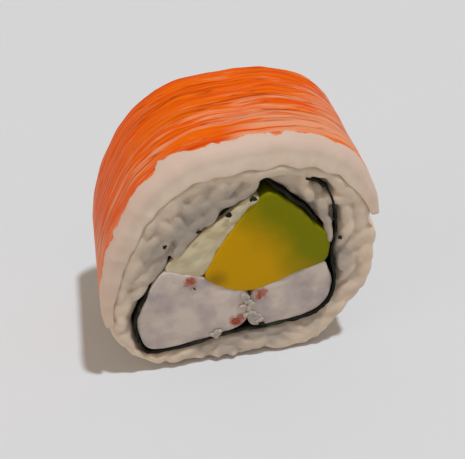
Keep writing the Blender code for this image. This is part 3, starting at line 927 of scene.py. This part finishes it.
def rice_bed():
    """A bmesh of the sticky mass behind the grains: the CAD rice, softened and let in a little."""
    work = bmesh.new()
    work.from_mesh(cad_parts["rice"].data)
    bmesh.ops.remove_doubles(work, verts=work.verts, dist=MERGE)
    work = melted(work, BED_VOXEL, rounds=3)
    moves = {}
    for vertex in work.verts:
        place = vertex.co / MM
        lump = 0.2 * ripple(place.x, place.y, place.z, 1.9)
        moves[vertex] = vertex.normal * (bed_move(place, vertex.normal) + lump) * MM
    for vertex, move in moves.items():
        vertex.co += move
    return work


def make_rice(settings):
    """The rice as one mass: the bed and the grains that show, stuck together."""
    draw = random.Random(settings.seed)
    work, shape = rice_bed(), grain_shape()
    lay_face_grains(work, shape, settings, draw, -1)
    lay_face_grains(work, shape, settings, draw, 1)
    lay_side_grains(work, shape, settings, draw)
    work = melted(work, GRAIN_VOXEL, rounds=1)
    for vertex in work.verts:
        vertex.co.z = max(vertex.co.z, 0)
        vertex.co.y = min(max(vertex.co.y, FRONT * MM), BACK * MM)
    finish_piece("sticky_rice", work, rice_material(settings), "rice")


def floor_material(settings):
    """A plain pale laminate table top: matt, with hardly any grain."""
    material, add, shader, place = start_material("pale_matt_laminate")
    cloud = add("TexNoise", {"Vector": place, "Scale": 0.01, "Detail": 2.0})
    share = add("MapRange", {0: cloud, 3: 0.0, 4: 0.12})
    colour = add("Mix", {0: share, 6: rgba(settings.floor), 7: rgba(settings.floor_tone)}, data_type="RGBA")
    fill_sockets(shader, {"Base Color": colour, "Roughness": 0.6})
    return material


def add_sun(name, strength, degrees, colour, towards):
    """Adds a distant light: its width in degrees, and the direction from the roll towards it."""
    light = bpy.data.lights.new(name, "SUN")
    light.energy = strength
    light.angle = math.radians(degrees)
    light.color = colour
    lamp = bpy.data.objects.new(name, light)
    bpy.context.scene.collection.objects.link(lamp)
    lamp.rotation_euler = towards.to_track_quat("Z", "Y").to_euler()


def make_stage(settings):
    work = bmesh.new()
    bmesh.ops.create_grid(work, x_segments=8, y_segments=8, size=2.0)
    mesh = bpy.data.meshes.new("table_top")
    work.to_mesh(mesh)
    work.free()
    table = bpy.data.objects.new("table_top", mesh)
    mesh.materials.append(floor_material(settings))
    bpy.context.scene.collection.objects.link(table)

    # The lamp is whiter than the light off the room's walls, and together they are neutral
    add_sun("overhead_lamp", settings.key, 4, (0.841, 0.915, 1.0), Vector((0.215, -0.155, 1.0)))
    add_sun("low_left_light", settings.side, 40, (1.0, 0.95, 0.9), Vector((-1.0, -0.3, 0.12)))

    world = bpy.data.worlds.new("studio")
    bpy.context.scene.world = world
    world.use_nodes = True
    background = world.node_tree.nodes["Background"]
    background.inputs["Color"].default_value = (1.0, 0.88, 0.74, 1)
    background.inputs["Strength"].default_value = settings.fill

    camera = bpy.data.cameras.new("camera")
    camera.lens = settings.lens
    camera.sensor_width = 36
    camera.clip_start = 0.01
    view = bpy.data.objects.new("camera", camera)
    bpy.context.scene.collection.objects.link(view)
    target = Vector((1.14, -2.0, 20.54)) * MM
    azimuth, elevation, distance = math.radians(-13), math.radians(37), 175 * MM
    level = math.cos(elevation)
    away = Vector((math.sin(azimuth) * level, -math.cos(azimuth) * level, math.sin(elevation)))
    view.location = target + away * distance
    view.rotation_euler = away.to_track_quat("Z", "Y").to_euler()
    bpy.context.scene.camera = view
    bpy.context.scene.view_settings.view_transform = "Standard"


class URAMAKI_OT_surimi(Operator):
    """Makes the orange surimi sheet over the rice"""

    bl_idname = "uramaki.surimi"
    bl_label = "Surimi Sheet"

    def execute(self, context):
        make_surimi_sheet(context.scene.uramaki.surimi)
        return {"FINISHED"}


class URAMAKI_OT_rice(Operator):
    """Makes the rice bed and the grains that show"""

    bl_idname = "uramaki.rice"
    bl_label = "Rice"

    def execute(self, context):
        make_rice(context.scene.uramaki.rice)
        return {"FINISHED"}


class URAMAKI_OT_nori(Operator):
    """Makes the nori spiral"""

    bl_idname = "uramaki.nori"
    bl_label = "Nori"

    def execute(self, context):
        make_nori_sheet(context.scene.uramaki.nori)
        return {"FINISHED"}


class URAMAKI_OT_fillings(Operator):
    """Makes the avocado, the soft cheese and the prawn pieces"""

    bl_idname = "uramaki.fillings"
    bl_label = "Fillings"

    def execute(self, context):
        settings = context.scene.uramaki.filling
        make_avocado(settings)
        make_cheese(settings)
        make_prawns(settings)
        return {"FINISHED"}


class URAMAKI_OT_stage(Operator):
    """Makes the table top, the light and the camera"""

    bl_idname = "uramaki.stage"
    bl_label = "Stage"

    def execute(self, context):
        make_stage(context.scene.uramaki.stage)
        return {"FINISHED"}


class URAMAKI_PT_panel(Panel):
    """Lists the roll's pieces in the sidebar"""

    bl_idname = "URAMAKI_PT_panel"
    bl_label = "Uramaki Roll"
    bl_space_type = "VIEW_3D"
    bl_region_type = "UI"
    bl_category = "Uramaki"

    def draw(self, context):
        for name in ("surimi", "rice", "nori", "fillings", "stage"):
            self.layout.operator(f"uramaki.{name}")


CLASSES = (
    SurimiSettings,
    RiceSettings,
    NoriSettings,
    FillingSettings,
    StageSettings,
    RollSettings,
    URAMAKI_OT_surimi,
    URAMAKI_OT_rice,
    URAMAKI_OT_nori,
    URAMAKI_OT_fillings,
    URAMAKI_OT_stage,
    URAMAKI_PT_panel,
)


def register():
    for item in CLASSES:
        bpy.utils.register_class(item)
    bpy.types.Scene.uramaki = PointerProperty(type=RollSettings)


def unregister():
    del bpy.types.Scene.uramaki
    for item in reversed(CLASSES):
        bpy.utils.unregister_class(item)


def main():
    register()
    bpy.ops.uramaki.surimi()
    bpy.ops.uramaki.rice()
    bpy.ops.uramaki.nori()
    bpy.ops.uramaki.fillings()
    bpy.ops.uramaki.stage()


if __name__ == "__main__":
    main()
